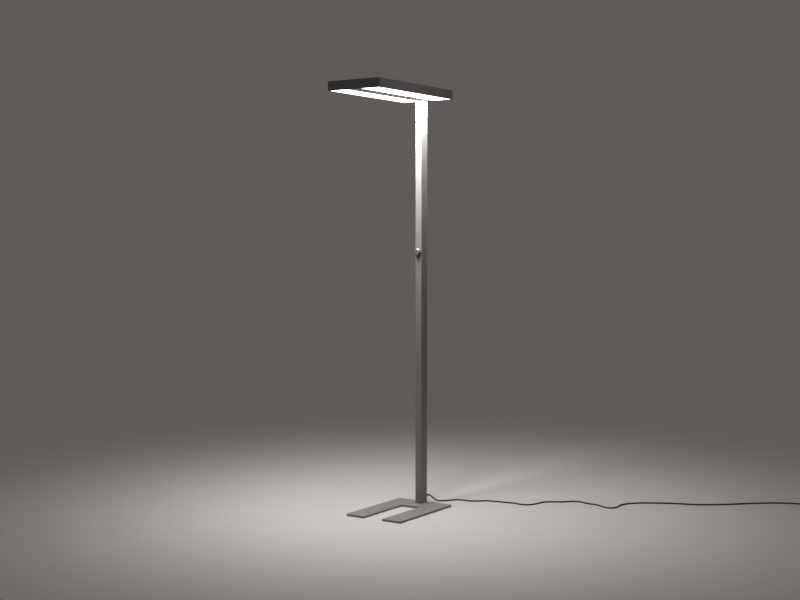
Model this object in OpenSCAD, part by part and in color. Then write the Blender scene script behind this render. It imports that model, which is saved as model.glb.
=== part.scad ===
// Office floor lamp: a flat two-window LED head on a slim post, standing on a U-shaped base plate.
// Millimetres, +Z up. The origin is on the floor under the post's axis, and the head reaches out along -Y.

/* [Overall] */
// Height from the floor to the top of the head
lamp_h = 1950; // [1700:10:2200]
// Clearance of a part that is pushed or slid into another
fit_gap = 0.1; // [0.05:0.05:0.3]
// Clearance round a panel that is laid into its frame
panel_gap = 0.5; // [0.3:0.1:1]
// Clearance between a fixed part and a part that moves
run_gap = 0.3; // [0.3:0.05:0.4]

/* [Base] */
// Length of the base plate from its back edge to the tips of its prongs
base_l = 440; // [400:5:520]
// Width of the base plate
base_w = 297; // [270:1:360]
// Thickness of the base plate
base_t = 9; // [6:0.5:12]
// Distance that the base plate reaches behind the post's axis
base_back = 36; // [32:1:60]
// Width of the slot between the prongs
slot_w = 100; // [60:2:140]
// Distance from the plate's back edge to the closed end of the slot
base_bar = 128; // [110:1:170]
// Corner radius of the base plate
base_corner_r = 6; // [2:0.5:12]
// Diameter of a glide under the plate
glide_d = 16; // [12:1:18]
// Depth of a glide's seat in the plate
glide_seat = 2; // [1:0.25:3]
// Distance that a glide stands out below the plate
glide_proud = 1; // [0.5:0.25:2]
// Distance from the plate's edges to the centre of a glide
glide_inset = 22; // [16:1:30]

/* [Post] */
// Width of the post from side to side
post_w = 33; // [31:1:40]
// Depth of the post from front to back
post_d = 52; // [50:1:60]
// Wall of the post
post_wall = 2.5; // [2:0.25:3]
// Corner radius of the post
post_corner_r = 1.2; // [0.5:0.1:2]
// Height of the block in the top of the post
head_block_h = 50; // [40:1:80]
// Distance from the inside of the post's side walls to the long screws of a block
block_edge_x = 5.5; // [4.5:0.25:6]
// Distance from the inside of the post's front and back to the long screws of a block
block_edge_y = 6.5; // [6.5:0.25:8]
// Distance from the sides of the post to the cross screws in its back
cross_edge = 8.5; // [7:0.25:9.5]
// Distance from a block's outer end to its cross screws
cross_inset = 11; // [9:0.5:13]
// Length of a cross screw
cross_screw_l = 6; // [4:0.5:6]

/* [Screws] */
// Thread of the long screws at both ends of the post
long_screw_d = 5; // [4:0.5:5]
// Head diameter of the long screws
long_head_d = 9; // [8:0.5:9.5]
// Length of a long screw in its block
long_screw_l = 15; // [12:1:16]
// Head height of a long screw
long_head_h = 3; // [2:0.25:3.5]
// Thread of the cross screws
cross_screw_d = 4; // [3:0.5:4]
// Head diameter of the cross screws
cross_head_d = 7.5; // [6:0.5:8]
// Thread of the small screws inside the head
small_screw_d = 3; // [2:0.5:3.5]
// Head diameter of the small screws inside the head
small_head_d = 5.5; // [5:0.5:6]
// Head height of the small screws inside the head
small_head_h = 1.6; // [1.2:0.1:2]
// Hex socket of a screw across its corners, as a share of its thread
socket_share = 0.7; // [0.6:0.05:0.75]
// Depth of a hex socket, as a share of its thread
socket_depth_share = 0.3; // [0.2:0.05:0.35]

/* [Control] */
// Height of the control knob above the floor
control_h = 1200; // [1000:10:1400]
// Diameter of the knob
knob_d = 28; // [24:1:32]
// Length of the knob
knob_l = 14; // [10:0.5:16]
// Chamfer round the knob's face
knob_chamfer = 2; // [0.4:0.1:2.5]
// Travel of the knob when it is pressed
push_travel = 0.8; // [0.4:0.1:1]
// Diameter of the encoder's shaft
shaft_d = 6; // [5:0.5:6.5]
// Running clearance round the shaft
shaft_gap = 0.05; // [0.02:0.01:0.09]
// Outside diameter of the encoder's threaded bush
bush_d = 9; // [8.5:0.25:10]
// Side of the encoder's square case
encoder_s = 14; // [13:0.5:16]
// Depth of the encoder's case
encoder_t = 8; // [7.5:0.25:9]
// Diameter of the encoder's nut across its corners
nut_d = 14; // [13:0.5:15]
// Thickness of the nut
nut_t = 2; // [1.5:0.25:2.5]

/* [Head] */
// Length of the head from front to back
head_l = 604; // [560:2:700]
// Width of the head
head_w = 274; // [240:2:320]
// Thickness of the head
head_t = 42; // [41:0.5:50]
// Distance that the head reaches behind the post's axis
head_back = 54; // [52:1:80]
// Outer wall of the frame rails
rail_wall = 3; // [2.5:0.25:3.5]
// Width of the lips that carry the panels, from the outside of the frame
lip_w = 6; // [5.5:0.5:16]
// Thickness of the lips
lip_t = 1; // [0.75:0.25:2]
// Thickness of the light panels
panel_t = 3; // [2:0.25:3.5]
// Width of the centre beam
spine_w = 72; // [54:1:90]
// Inside width of the centre beam's channel
channel_w = 38; // [37:0.5:40]
// Wall of the centre beam
spine_wall = 2; // [1.5:0.25:2.5]
// Thickness of the floor of the centre beam's channel
floor_t = 2; // [1.75:0.25:3]
// Distance from the panels' edges to the walls of the light tray
tray_inset = 5; // [3:0.25:6]
// Wall of the light tray
tray_wall = 1; // [0.8:0.1:1.5]
// Thickness of the tray's middle plate
tray_plate = 1.5; // [1:0.25:2]
// Width of an LED board
board_w = 50; // [30:1:60]
// Thickness of an LED board
board_t = 2; // [1.9:0.1:2.5]
// Number of LEDs in a row
led_count = 16; // [8:1:24]
// Side of an LED
led_s = 3; // [2:0.5:4]
// Height of an LED
led_h = 0.8; // [0.5:0.1:1.2]
// Distance between the two rows of LEDs on a board
led_row_pitch = 24; // [12:1:25]
// Length of the leg of a corner bracket
bracket_leg = 24; // [18:1:30]
// Height of a bracket
bracket_h = 18; // [12:1:22]
// Thickness of a bracket
bracket_t = 2; // [1.5:0.25:2.5]
// Thickness of the plate that spreads the load of the head
mount_plate_t = 5; // [4:0.5:6]
// Length of the plate that spreads the load of the head
mount_plate_l = 84; // [60:1:100]

/* [Gear in the head] */
// Length of the LED driver
driver_l = 280; // [200:5:300]
// Width of the LED driver
driver_w = 30; // [26:1:34]
// Height of the LED driver
driver_h = 21; // [20:0.5:26]
// Distance from the post's axis to the near end of the driver
driver_y = 170; // [150:1:185]
// Length of the terminal block
terminal_l = 30; // [24:1:34]
// Width of the terminal block
terminal_w = 24; // [18:1:30]
// Height of the terminal block
terminal_h = 31; // [29:0.5:34]
// Distance from the post's axis to the near end of the terminal block
terminal_y = 85; // [70:1:95]

/* [Cord] */
// Diameter of the mains cord
cord_d = 7; // [6:0.25:7.25]
// Height of the cord's outlet above the floor
outlet_h = 36; // [35.5:0.5:45]
// Length of the strain relief outside the post
relief_l = 36; // [30:1:40]
// Diameter of the strain relief where it leaves the post
relief_d = 12; // [11:0.5:14]
// Diameter of the tip of the strain relief
relief_tip_d = 9; // [8.5:0.25:10]
// Diameter of the lead from the encoder to the head
lead_d = 4; // [3:0.25:4.5]
// Diameter of the thin wires in the head
wire_d = 1.6; // [1:0.1:1.6]
// Number of turns in the coil of spare cord
coil_turns = 3.25; // [3.25:1:6.25]
// Radius of the outermost turn of the coil
coil_r = 46; // [44:1:52]
// Space between neighbouring turns
turn_gap = 0.9; // [0.6:0.1:1.5]
// Length of the plug's body
plug_l = 48; // [42:1:60]
// Diameter of the plug's face
plug_d = 37; // [36:0.5:38]
// Diameter of a plug pin
pin_d = 4.8; // [4:0.1:5]
// Length of a plug pin
pin_l = 19; // [17:0.5:20]
// Distance between the plug pins
pin_pitch = 19; // [18:0.5:20]
// Width of the tie round the coil
tie_w = 12; // [8:1:14]
// Thickness of the tie
tie_t = 0.8; // [0.5:0.1:0.8]

/* [Hidden] */
$fn = 48;

// Amount by which a cut passes the face that it starts from
over = 1;

// Levels of the base and the post
plate_z = glide_proud;
plate_top = plate_z + base_t;
head_z = lamp_h - head_t;
post_front = -post_d / 2;
post_back = post_d / 2;
bore_w = post_w - 2 * post_wall;
block_pitch_x = bore_w - 2 * block_edge_x;
cross_pitch = post_w - 2 * cross_edge;
bore_d = post_d - 2 * post_wall;
block_pitch_y = bore_d - 2 * block_edge_y;
least_corner_r = 0.3;
bore_corner_r = max(post_corner_r - post_wall, least_corner_r);
base_front = base_back - base_l;
slot_end = base_back - base_bar;
cable_r = cord_d / 2;

// The cables inside the post: the clearance round them, where they rise and how they bend
way_gap = 0.6;
cable_hole_r = cable_r + way_gap;
lead_hole_r = lead_d / 2 + way_gap;
bend_r = 4 * cord_d;
bend_steps = 6;
relief_ring_t = 1.5;
relief_ring_d = relief_d + 2;
cable_y = post_back - post_wall - fit_gap - relief_ring_t - way_gap - bend_r;
lead_y = post_front + post_wall + encoder_t - lead_d / 2 - way_gap;
foot_block_gap = 1;
foot_block_h = outlet_h - relief_ring_d / 2 - foot_block_gap - plate_top;

// Blind screw holes keep this much metal, and their screws end this far short of it
blind_skin = 0.6;
screw_end_gap = 0.2;

// Levels of the head, above its underside
head_front = head_back - head_l;
ledge_top = head_t - panel_t;
ledge_z = ledge_top - lip_t;
web_x = channel_w / 2 + spine_wall;
panel_x0 = web_x + panel_gap;
panel_x1 = head_w / 2 - rail_wall - panel_gap;
panel_y0 = head_front + rail_wall + panel_gap;
panel_y1 = head_back - rail_wall - panel_gap;
tray_x0 = panel_x0 + tray_inset / 2;
tray_x1 = panel_x1 - tray_inset;
tray_y0 = panel_y0 + tray_inset;
tray_y1 = panel_y1 - tray_inset;
tray_z0 = lip_t + panel_t;
tray_z1 = ledge_z - fit_gap;
tray_mid = (tray_z0 + tray_z1) / 2;
board_x = (tray_x0 + tray_x1) / 2;
board_end_gap = 15;
board_l = tray_y1 - tray_y0 - 2 * board_end_gap;
lead_drop = board_t / 2 + fit_gap;
down_lead_z = tray_mid - lead_drop;
up_lead_z = tray_mid + tray_plate + lead_drop;
bracket_z = (head_t - bracket_h) / 2;
driver_end = -driver_y - driver_l;

// Levels of the terminal block's two cables, above the head's underside
mains_rise = 26;
mains_bend_r = 20;
lead_rise = 13;
lead_bend_r = 8;

// The coil of spare cord: where it lies, how it piles, and the tie under it
lay_gap = 0.1;
tie_gap = 0.25;
tie_side_gap = 1;
tie_corner_r = 2;
coil_centre = [1590, 948];
turn_step = cord_d + turn_gap;
coil_z = tie_t + tie_gap + cable_r;
coil_half = coil_turns / 2;
coil_start = 90;
coil_end_x = coil_centre.x + coil_r;
tail_drop = 70;
tail_ease = 1;
plug_z = plug_d / 2 + lay_gap;
plug_y = coil_centre.y - cord_d - tail_drop;
tie_turn = coil_half + 0.5 - floor(coil_half + 0.5);
rest_z = cable_r + lay_gap;
ring_step = 26;

// The cord's free stretch: from the strain relief down to the floor, then loosely away to the right
cord_route = [
    [0, post_back + relief_l, outlet_h],
    [1, 71, 35.2], [5, 85, 26], [13, 98, 13], [25, 108, 5.2], [40, 116, rest_z],
    [58, 131, rest_z], [73, 156, rest_z], [93, 180, rest_z], [125, 187, rest_z], [162, 188, rest_z],
    [193, 208, rest_z], [222, 236, rest_z], [262, 244, rest_z], [308, 250, rest_z],
    [360, 258, rest_z], [408, 251, rest_z], [443, 269, rest_z], [456, 310, rest_z],
    [467, 356, rest_z], [502, 387, rest_z], [543, 411, rest_z], [573, 447, rest_z],
    [608, 460, rest_z], [651, 442, rest_z], [700, 438, rest_z], [738, 420, rest_z],
    [764, 407, rest_z], [786, 407, rest_z], [802, 420, rest_z], [808, 443, rest_z],
    [803, 500, rest_z], [822, 550, rest_z], [870, 597, rest_z], [985, 662, rest_z],
    [1105, 705, rest_z], [1215, 785, rest_z], [1325, 890, rest_z], [1435, 965, rest_z],
    [1530, 992, rest_z], [coil_centre.x, coil_centre.y + coil_r, coil_z]
];

// Round shapes that are swept along a route: directions, rings and the skin
function unit(v) = v / norm(v);
function curve_at(p, i, t) =
    let (n = len(p) - 1, a = p[max(i - 1, 0)], b = p[i], c = p[min(i + 1, n)], d = p[min(i + 2, n)])
    0.5 * (2 * b + (c - a) * t + (2 * a - 5 * b + 4 * c - d) * t * t + (3 * b - a - 3 * c + d) * t * t * t);
function steps_at(p, i, step) = max(round(norm(p[i + 1] - p[i]) / step), 1);
function smooth(p, step) = concat(
    [for (i = [0 : len(p) - 2]) let (n = steps_at(p, i, step)) for (k = [0 : n - 1]) curve_at(p, i, k / n)],
    [p[len(p) - 1]]);
function heading(p, i) = unit(p[min(i + 1, len(p) - 1)] - p[max(i - 1, 0)]);
function ring(at, along, side_ref, r, sides) =
    let (s = unit(cross(along, side_ref)), u = cross(s, along))
    [for (k = [0 : sides - 1]) at + r * (cos(360 * k / sides) * s + sin(360 * k / sides) * u)];
function route_length(p) = len(p) < 2 ? 0 : [for (i = [1 : len(p) - 1]) norm(p[i] - p[i - 1])]
    * [for (i = [1 : len(p) - 1]) 1];
function quarter(y, z, r) =
    [for (k = [0 : bend_steps]) let (a = 90 * k / bend_steps) [0, y - r * (1 - cos(a)), z + r * sin(a)]];

module tube(route, d, sides, first, last, side_ref = [0, 0, 1]) {
    n = len(route);
    points = [for (i = [0 : n - 1])
        each ring(route[i], i == 0 ? first : i == n - 1 ? last : heading(route, i), side_ref, d / 2, sides)];
    skin = [for (i = [0 : n - 2], k = [0 : sides - 1])
        let (m = (k + 1) % sides, a = i * sides + k, b = i * sides + m, c = a + sides, e = b + sides)
        each [[a, b, c], [b, e, c]]];
    start_cap = [for (k = [1 : sides - 2]) [0, k + 1, k]];
    end_cap = [for (k = [1 : sides - 2]) [(n - 1) * sides, (n - 1) * sides + k, (n - 1) * sides + k + 1]];
    polyhedron(points, concat(skin, start_cap, end_cap));
}

// Turns of the coil: in along the lower layer, up a layer where the spiral reverses, out along the upper
function coil_radius(t) = coil_r - turn_step * (coil_half - abs(t - coil_half));
function coil_height(t) = coil_z + turn_step * min(max((t - coil_half) * 2 + 0.5, 0), 1);
function coil_point(t) =
    let (a = coil_start - 360 * t, r = coil_radius(t))
    [coil_centre.x + r * cos(a), coil_centre.y + r * sin(a), coil_height(t)];
coil_steps = round(coil_turns * 24);
coil_route = concat(
    [[coil_centre.x, coil_centre.y + coil_r, coil_z]],
    [for (i = [1 : coil_steps - 1]) coil_point(i / 24)],
    [[coil_end_x, coil_centre.y, coil_height(coil_turns)]]
);
coil_own_gap = min([for (i = [0 : coil_steps], j = [i + 12 : 1 : coil_steps])
    norm(coil_route[i] - coil_route[j])]) - cord_d;
cord_path = smooth(cord_route, ring_step);
tail_route = [
    [coil_end_x, coil_centre.y, coil_height(coil_turns)],
    [coil_end_x, coil_centre.y - cord_d, coil_height(coil_turns)],
    [coil_end_x, coil_centre.y - 3 * cord_d, coil_height(coil_turns) + tail_ease],
    [coil_end_x, plug_y + 3 * cord_d, plug_z - tail_ease],
    [coil_end_x, plug_y + cord_d, plug_z],
    [coil_end_x, plug_y, plug_z]
];
echo(coil_least_gap = coil_own_gap);
echo(cord_length = route_length(cord_path) + route_length(coil_route) + route_length(tail_route));

// A block with round upright edges, and a flat plate shape with round corners
module rounded_plan(w, d, r) {
    union() {
        square([w - 2 * r, d], center = true);
        square([w, d - 2 * r], center = true);
        for (x = [-1, 1], y = [-1, 1]) translate([x * (w / 2 - r), y * (d / 2 - r)]) circle(r);
    }
}

// The hex socket in the head of a screw of thread d
module hex_socket(d) translate([0, 0, -over])
    cylinder(d = socket_share * d, h = socket_depth_share * d + over, $fn = 6);

// A screw along +Z: its head starts at z = 0 and its shank runs up from there
module screw(d, l, head_d, head_h) difference() {
    union() {
        cylinder(d = head_d, h = head_h);
        cylinder(d = d, h = head_h + l);
    }
    hex_socket(d);
}

// A countersunk screw along +Z: its flat face is at z = 0
module flush_screw(d, l, head_d) difference() {
    union() {
        cylinder(d1 = head_d, d2 = d, h = (head_d - d) / 2);
        cylinder(d = d, h = l);
    }
    hex_socket(d);
}

module at_block_screws() {
    for (x = [-1, 1], y = [-1, 1]) translate([x * block_pitch_x / 2, y * block_pitch_y / 2, 0]) children();
}

module at_cross_screws(z) {
    for (x = [-1, 1]) translate([x * cross_pitch / 2, post_back, z]) rotate([90, 0, 0]) children();
}

foot_cross_z = plate_top + cross_inset;
head_cross_z = head_z - cross_inset;

module at_glides() {
    prong_x = base_w / 2 - glide_inset;
    for (x = [-1, 1], y = [base_front + glide_inset, (base_front + slot_end) / 2, base_back - glide_inset])
        translate([x * prong_x, y, 0]) children();
    children();
}

// ---- Base ----

module base_outline() {
    difference() {
        translate([0, base_back - base_l / 2]) rounded_plan(base_w, base_l, base_corner_r);
        translate([-slot_w / 2, base_front - over])
            square([slot_w, slot_end - base_front + over - base_corner_r]);
        translate([-slot_w / 2 + base_corner_r, base_front])
            square([slot_w - 2 * base_corner_r, slot_end - base_front]);
        for (x = [-1, 1]) translate([x * (slot_w / 2 - base_corner_r), slot_end - base_corner_r])
            circle(base_corner_r);
    }
}

module base_plate() color([0.55, 0.53, 0.52]) difference() {
    translate([0, 0, plate_z]) linear_extrude(base_t) base_outline();
    at_glides() translate([0, 0, plate_z - over]) cylinder(d = glide_d + 2 * fit_gap, h = glide_seat + over);
    at_block_screws() translate([0, 0, plate_z - over])
        cylinder(d = long_screw_d + 2 * fit_gap, h = base_t + 2 * over);
    at_block_screws() translate([0, 0, plate_z - over])
        cylinder(d = long_head_d + 2 * fit_gap, h = long_head_h + over);
}

module base_glides() color([0.12, 0.12, 0.12])
    at_glides() cylinder(d = glide_d, h = glide_seat + glide_proud);

module base_screws() color([0.7, 0.7, 0.72]) at_block_screws() translate([0, 0, plate_z])
    screw(long_screw_d, base_t - long_head_h + long_screw_l, long_head_d, long_head_h);

// Ways for the mains cable and the control lead, up through h from the top of the post
module cable_ways(h) translate([0, 0, head_z - over]) {
    translate([0, cable_y, 0]) cylinder(r = cable_hole_r, h = h + 2 * over);
    translate([0, lead_y, 0]) cylinder(r = lead_hole_r, h = h + 2 * over);
}

module block_body(h) {
    linear_extrude(h) rounded_plan(bore_w - 2 * fit_gap, bore_d - 2 * fit_gap, bore_corner_r + fit_gap);
}

module foot_block() color([0.72, 0.72, 0.74]) difference() {
    translate([0, 0, plate_top]) block_body(foot_block_h);
    at_block_screws() translate([0, 0, plate_top - over])
        cylinder(d = long_screw_d + 2 * fit_gap, h = long_screw_l + 2 * over);
    at_cross_screws(foot_cross_z) cylinder(d = cross_screw_d + 2 * fit_gap, h = cross_screw_l + over);
}

module foot_cross_screws() color([0.3, 0.3, 0.32])
    at_cross_screws(foot_cross_z) flush_screw(cross_screw_d, cross_screw_l, cross_head_d);

// ---- Post ----

module post() color([0.75, 0.74, 0.73]) difference() {
    translate([0, 0, plate_top]) linear_extrude(head_z - plate_top) difference() {
        rounded_plan(post_w, post_d, post_corner_r);
        rounded_plan(bore_w, bore_d, bore_corner_r);
    }
    for (z = [foot_cross_z, head_cross_z]) at_cross_screws(z) {
        cylinder(d = cross_screw_d + 2 * fit_gap, h = post_wall + over);
        translate([0, 0, -over])
            cylinder(d1 = cross_head_d + 2 * fit_gap + 2 * over, d2 = cross_screw_d + 2 * fit_gap,
                h = (cross_head_d - cross_screw_d) / 2 + over);
    }
    translate([0, post_back + over, outlet_h]) rotate([90, 0, 0])
        cylinder(d = relief_d + 2 * fit_gap, h = post_wall + 2 * over);
    translate([0, post_front - over, control_h]) rotate([-90, 0, 0])
        cylinder(d = bush_d + 2 * fit_gap, h = post_wall + 2 * over);
}

module head_block() color([0.72, 0.72, 0.74]) difference() {
    translate([0, 0, head_z - head_block_h]) block_body(head_block_h);
    at_block_screws() translate([0, 0, head_z - long_screw_l - over])
        cylinder(d = long_screw_d + 2 * fit_gap, h = long_screw_l + 2 * over);
    at_cross_screws(head_cross_z) cylinder(d = cross_screw_d + 2 * fit_gap, h = cross_screw_l + over);
    translate([0, 0, -head_block_h]) cable_ways(head_block_h);
}

module head_cross_screws() color([0.3, 0.3, 0.32])
    at_cross_screws(head_cross_z) flush_screw(cross_screw_d, cross_screw_l, cross_head_d);

// The strain relief: a flange outside the post, a ring inside it, and grooves that let its tail bend
relief_flange_t = 2.5;
relief_flange_d = relief_d + 4;
relief_bore = cord_d + 2 * fit_gap;
relief_neck = 3;
relief_end = 5;
groove_count = 5;
groove_depth = 0.7;
groove_step = (relief_l - relief_flange_t - relief_neck - relief_end) / groove_count;
relief_in = post_wall + fit_gap + relief_ring_t;

module strain_relief() color([0.08, 0.08, 0.08])
    translate([0, post_back, outlet_h]) rotate([-90, 0, 0]) difference() {
        union() {
            cylinder(d = relief_flange_d, h = relief_flange_t);
            translate([0, 0, relief_flange_t])
                cylinder(d1 = relief_d, d2 = relief_tip_d, h = relief_l - relief_flange_t);
            translate([0, 0, -relief_in]) cylinder(d = relief_d, h = relief_in);
            translate([0, 0, -relief_in]) cylinder(d = relief_ring_d, h = relief_ring_t);
        }
        translate([0, 0, -relief_in - over]) cylinder(d = relief_bore, h = relief_in + relief_l + 2 * over);
        for (i = [0 : groove_count - 1]) translate([0, 0, relief_flange_t + relief_neck + i * groove_step])
            difference() {
                cylinder(d = relief_flange_d, h = groove_step / 2);
                translate([0, 0, -over])
                    cylinder(d = relief_tip_d - groove_depth, h = groove_step / 2 + 2 * over);
            }
    }

terminal_back = -terminal_y;
cable_rise_z = head_z + mains_rise - mains_bend_r;
cable_route = concat(
    [[0, post_back + relief_l, outlet_h]],
    [for (k = [0 : bend_steps]) let (a = 90 * k / bend_steps)
        [0, cable_y + bend_r * (1 - sin(a)), outlet_h + bend_r * (1 - cos(a))]],
    quarter(cable_y, cable_rise_z, mains_bend_r),
    [[0, terminal_back, head_z + mains_rise]]
);

module inner_cable() color([0.08, 0.08, 0.08])
    tube(cable_route, cord_d, 10, [0, -1, 0], [0, -1, 0], [1, 0, 0]);

// ---- Control: the knob turns with the shaft, and pressing it moves the plunger to the switch ----

case_front = post_front + post_wall;
case_wall = 1.6;
thread_end = 1;
bush_front = post_front - nut_t - thread_end;
shaft_collar_t = 1;
shaft_collar_d = shaft_d + 2;
plunger_t = 1.5;
cavity_d = shaft_collar_d + 2 * run_gap;
cavity_front = case_front + case_wall;
collar_front = cavity_front + run_gap;
plunger_front = collar_front + shaft_collar_t + run_gap;
cavity_back = plunger_front + plunger_t + push_travel + run_gap;
knob_back = post_front - push_travel - run_gap;
knob_front = knob_back - knob_l;
knob_face_t = 2;
knob_bore_l = knob_l - knob_face_t;
shaft_end_gap = 0.2;
knob_recess_d = nut_d + 4 * run_gap;
knob_recess_l = nut_t + thread_end + push_travel;
grub_d = 3;
grub_socket = 1.2;
grub_sink = 0.6;
grub_way = (knob_d - shaft_d) / 2;
grub_y = knob_back - knob_recess_l - grub_d;
dimple_r = 6;
dimple_depth = 1.2;
dimple_at = [-4.5, -2.5];

module along_control(y) translate([0, y, control_h]) rotate([-90, 0, 0]) children();

module encoder_case() color([0.2, 0.22, 0.2]) difference() {
    union() {
        translate([-encoder_s / 2, case_front, control_h - encoder_s / 2])
            cube([encoder_s, encoder_t, encoder_s]);
        along_control(bush_front) cylinder(d = bush_d, h = case_front - bush_front);
    }
    along_control(bush_front - over)
        cylinder(d = shaft_d + 2 * shaft_gap, h = cavity_front - bush_front + 2 * over);
    along_control(cavity_front) cylinder(d = cavity_d, h = cavity_back - cavity_front);
}

module encoder_nut() color([0.75, 0.72, 0.6]) difference() {
    along_control(post_front - nut_t) cylinder(d = nut_d, h = nut_t, $fn = 6);
    along_control(post_front - nut_t - over) cylinder(d = bush_d + 2 * fit_gap, h = nut_t + 2 * over);
}

module switch_plunger() color([0.85, 0.85, 0.8]) along_control(plunger_front)
    cylinder(d = shaft_collar_d, h = plunger_t);

module encoder_shaft() color([0.7, 0.7, 0.72]) union() {
    along_control(knob_back - knob_bore_l)
        cylinder(d = shaft_d, h = collar_front + shaft_collar_t - knob_back + knob_bore_l);
    along_control(collar_front) cylinder(d = shaft_collar_d, h = shaft_collar_t);
}

module control_knob() color([0.6, 0.6, 0.6]) difference() {
    translate([0, knob_back, control_h]) rotate([90, 0, 0]) rotate_extrude($fn = 96) polygon([
        [0, 0], [knob_d / 2, 0], [knob_d / 2, knob_l - knob_chamfer],
        [knob_d / 2 - knob_chamfer, knob_l], [0, knob_l]
    ]);
    along_control(knob_back - knob_bore_l - shaft_end_gap)
        cylinder(d = shaft_d + 2 * shaft_gap, h = knob_bore_l + over);
    along_control(knob_back - knob_recess_l) cylinder(d = knob_recess_d, h = knob_recess_l + over);
    translate([0, grub_y, control_h - knob_d / 2 - over])
        cylinder(d = grub_d + 2 * shaft_gap, h = grub_way + over);
    translate([dimple_at.x, knob_front - dimple_r + dimple_depth, control_h + dimple_at.y]) sphere(dimple_r);
}

module knob_screw() color([0.25, 0.25, 0.27])
    translate([0, grub_y, control_h - knob_d / 2 + grub_sink]) difference() {
        cylinder(d = grub_d, h = grub_way - grub_sink - shaft_gap);
        translate([0, 0, -over]) cylinder(d = grub_d / 2, h = grub_socket + over, $fn = 6);
    }

lead_rise_z = head_z + lead_rise - lead_bend_r;
lead_route = concat(
    [[0, lead_y, control_h + encoder_s / 2]],
    quarter(lead_y, lead_rise_z, lead_bend_r),
    [[0, terminal_back, head_z + lead_rise]]
);

module control_lead() color([0.15, 0.15, 0.15])
    tube(lead_route, lead_d, 8, [0, 0, 1], [0, -1, 0], [1, 0, 0]);

// ---- Head: mitred frame, centre beam and light panels; u runs inwards, v upwards ----

module rail_section() polygon([
    [0, 0], [lip_w, 0], [lip_w, lip_t], [rail_wall, lip_t], [rail_wall, ledge_z], [lip_w, ledge_z],
    [lip_w, ledge_top], [rail_wall, ledge_top], [rail_wall, head_t], [0, head_t]
]);

// A mitred rail of the given length, outer face at x = 0 and running along +Y from the origin
module rail(l) intersection() {
    translate([0, l, 0]) rotate([90, 0, 0]) linear_extrude(l) rail_section();
    translate([0, 0, -over]) linear_extrude(head_t + 2 * over)
        polygon([[0, 0], [0, l], [lip_w, l - lip_w], [lip_w, lip_w]]);
}

module rail_holes() for (x = [-1, 1], y = [-1, 1]) at_corner(x, y) corner_screw_holes();

module at_corner(x, y)
    translate([x * (head_w / 2 - rail_wall), y > 0 ? head_back - rail_wall : head_front + rail_wall, head_z])
        scale([-x, -y, 1]) children();

bracket_screw_at = bracket_leg - small_head_d;

module corner_screw_holes() {
    translate([-rail_wall + blind_skin, bracket_screw_at, head_t / 2]) rotate([0, 90, 0])
        cylinder(d = small_screw_d + 2 * fit_gap, h = rail_wall + bracket_t + over);
    translate([bracket_screw_at, -rail_wall + blind_skin, head_t / 2]) rotate([-90, 0, 0])
        cylinder(d = small_screw_d + 2 * fit_gap, h = rail_wall + bracket_t + over);
}

module head_rail(which) difference() {
    if (which == "left") translate([-head_w / 2, head_front, head_z]) rail(head_l);
    else if (which == "right") translate([head_w / 2, head_back, head_z]) rotate(180) rail(head_l);
    else if (which == "front") translate([head_w / 2, head_front, head_z]) rotate(90) rail(head_w);
    else translate([-head_w / 2, head_back, head_z]) rotate(-90) rail(head_w);
    rail_holes();
}

module front_rail() color([0.2, 0.19, 0.18]) head_rail("front");
module back_rail() color([0.2, 0.19, 0.18]) head_rail("back");
module left_rail() color([0.2, 0.19, 0.18]) head_rail("left");
module right_rail() color([0.2, 0.19, 0.18]) head_rail("right");

module corner_brackets() color([0.6, 0.6, 0.62]) difference() {
    for (x = [-1, 1], y = [-1, 1]) at_corner(x, y) translate([0, 0, bracket_z]) union() {
        cube([bracket_t, bracket_leg, bracket_h]);
        cube([bracket_leg, bracket_t, bracket_h]);
    }
    rail_holes();
}

corner_screw_l = bracket_t + rail_wall - blind_skin - screw_end_gap;

module corner_screws() color([0.7, 0.7, 0.72])
    for (x = [-1, 1], y = [-1, 1]) at_corner(x, y) {
        translate([bracket_t + small_head_h, bracket_screw_at, head_t / 2]) rotate([0, -90, 0])
            screw(small_screw_d, corner_screw_l, small_head_d, small_head_h);
        translate([bracket_screw_at, bracket_t + small_head_h, head_t / 2]) rotate([90, 0, 0])
            screw(small_screw_d, corner_screw_l, small_head_d, small_head_h);
    }

spine_y0 = head_front + lip_w + fit_gap;
spine_y1 = head_back - lip_w - fit_gap;
lead_way_in = 16;
lead_way_y = driver_end - lead_way_in;

module along_head(y0, y1) translate([0, y1, head_z]) rotate([90, 0, 0]) linear_extrude(y1 - y0) children();

module post_screw_ways(h) at_block_screws() translate([0, 0, head_z - over])
    cylinder(d = long_screw_d + 2 * fit_gap, h = h + 2 * over);

module spine() color([0.5, 0.49, 0.48]) difference() {
    along_head(spine_y0, spine_y1) union() {
        translate([-spine_w / 2, 0]) square([spine_w, lip_t]);
        translate([-web_x, 0]) square([2 * web_x, floor_t]);
        for (m = [0, 1]) mirror([m, 0]) {
            translate([channel_w / 2, 0]) square([spine_wall, ledge_top]);
            translate([channel_w / 2, ledge_z]) square([(spine_w - channel_w) / 2, lip_t]);
        }
    }
    post_screw_ways(floor_t);
    cable_ways(floor_t);
    led_lead_ways(channel_w / 2 - over, web_x + over);
    for (p = concat(spine_screw_places, driver_screw_places)) floor_screw_hole(p, 0);
}

module spine_cover() color([0.2, 0.19, 0.18]) translate([-web_x + fit_gap, panel_y0, head_z + ledge_top])
    cube([2 * (web_x - fit_gap), panel_y1 - panel_y0, panel_t]);

// A small screw through what lies t thick on the beam's floor, into a blind hole there
module floor_screw_hole(y, t) translate([0, y, head_z + blind_skin])
    cylinder(d = small_screw_d + 2 * fit_gap, h = floor_t + t - blind_skin + over);

module floor_screw(y, t) translate([0, y, head_z + floor_t + t + small_head_h]) rotate([180, 0, 0])
    screw(small_screw_d, t + floor_t - blind_skin - screw_end_gap, small_head_d, small_head_h);

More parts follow.
